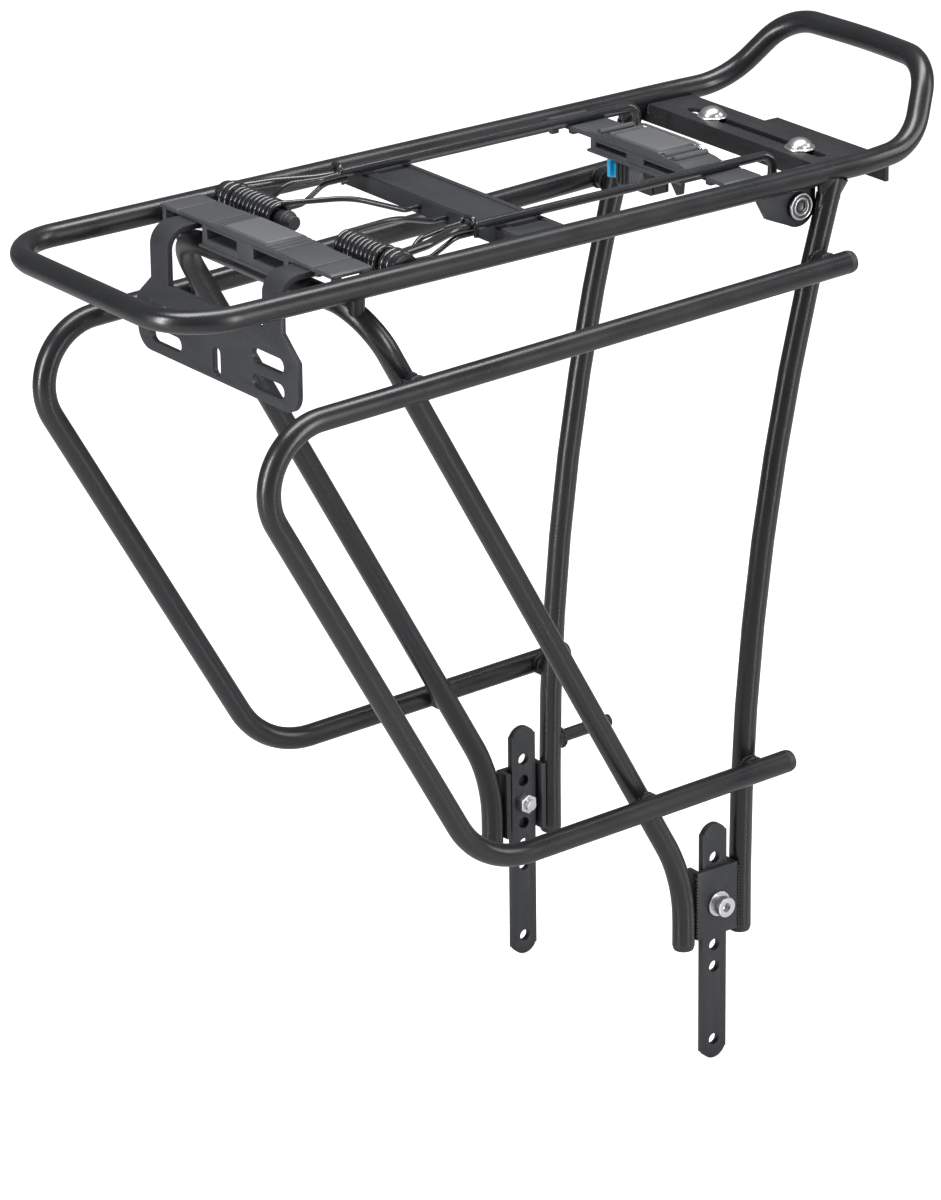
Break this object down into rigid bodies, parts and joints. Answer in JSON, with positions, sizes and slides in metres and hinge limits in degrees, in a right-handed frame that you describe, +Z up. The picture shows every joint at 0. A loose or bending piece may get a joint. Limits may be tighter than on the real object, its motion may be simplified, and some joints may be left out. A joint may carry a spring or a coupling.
{
  "type": "bicycle rear luggage carrier",
  "caption": "Black tubular rear carrier for a bicycle with side loops for panniers, a sprung clamp on top, clip-in adapters, a light bracket and perforated adjustable feet.",
  "frame": {"origin": "on the ground plane under the feet, in the middle of the overall width and length", "axes": "+Z up, +Y from the front bar towards the rear handle, +X across, towards the side with the tab and screw under the rail"},
  "size_m": [0.175, 0.419, 0.4322],
  "materials": {
    "black_tube": "satin black powder coat",
    "black_sheet": "satin black coated sheet",
    "black_wire": "semi-gloss black spring wire",
    "dark_plastic": "moulded grey-black plastic",
    "grey_plastic": "smooth mid-grey plastic",
    "cap_plastic": "black plastic plug",
    "blue_plastic": "glossy light blue plastic",
    "zinc": "bright zinc-plated steel"
  },
  "bodies": {
    "frame": {"platform_frame": "black_tube", "front_leg_hoop": "black_tube", "rear_leg_left": "black_tube", "rear_leg_right": "black_tube", "pannier_loop_left": "black_tube", "pannier_loop_right": "black_tube", "loop_saddles_left": "black_tube", "loop_saddles_right": "black_tube", "hoop_saddles": "black_tube", "tube_plugs": "cap_plastic", "strap_bracket_left": "black_sheet", "strap_bracket_right": "black_sheet", "foot_strap_left": "black_sheet", "foot_strap_right": "black_sheet", "foot_screws": "zinc", "foot_washers": "zinc", "foot_nuts": "zinc", "strap_peg": "black_tube", "front_plate": "black_sheet", "front_plate_screws": "zinc", "front_adapter": "dark_plastic", "front_adapter_cap": "grey_plastic", "rear_adapter": "dark_plastic", "rear_adapter_cap": "grey_plastic", "latch_housing": "dark_plastic", "button_spring": "zinc", "centre_plate": "black_sheet", "rear_plate": "black_sheet", "side_tab": "black_sheet", "side_tab_screw": "zinc", "pivot_lugs": "black_tube", "pivot_rod_left": "black_wire", "pivot_rod_right": "black_wire", "rod_caps": "cap_plastic", "anchor_wire_left": "black_wire", "anchor_wire_right": "black_wire"},
    "clamp": {"clamp_bail": "black_wire", "spring_left": "black_wire", "spring_right": "black_wire", "spring_arm_left": "black_wire", "spring_arm_right": "black_wire", "stay_wires": "black_wire"},
    "button": {"release_button": "blue_plastic"},
    "light": {"light_bracket": "black_sheet", "dome_screws": "zinc", "dome_nuts": "zinc"}
  },
  "joints": [
    {"name": "clamp_hinge", "type": "hinge", "parent": "frame", "child": "clamp", "pos_m": [0, -0.09251, 0.398], "axis": [1, 0, 0], "range_deg": [0, 80], "stiffness_Nm_per_rad": 2, "springref_deg": -51.57, "deforming": ["spring_left", "spring_right"]},
    {"name": "release_button_slide", "type": "slide", "parent": "frame", "child": "button", "axis": [1, 0, 0], "range_m": [0, 0.004], "stiffness_N_per_m": 300, "springref_m": -0.002, "deforming": ["button_spring"]},
    {"name": "light_bracket_slide", "type": "slide", "parent": "frame", "child": "light", "axis": [1, 0, 0], "range_m": [-0.012, 0.012]}
  ]
}
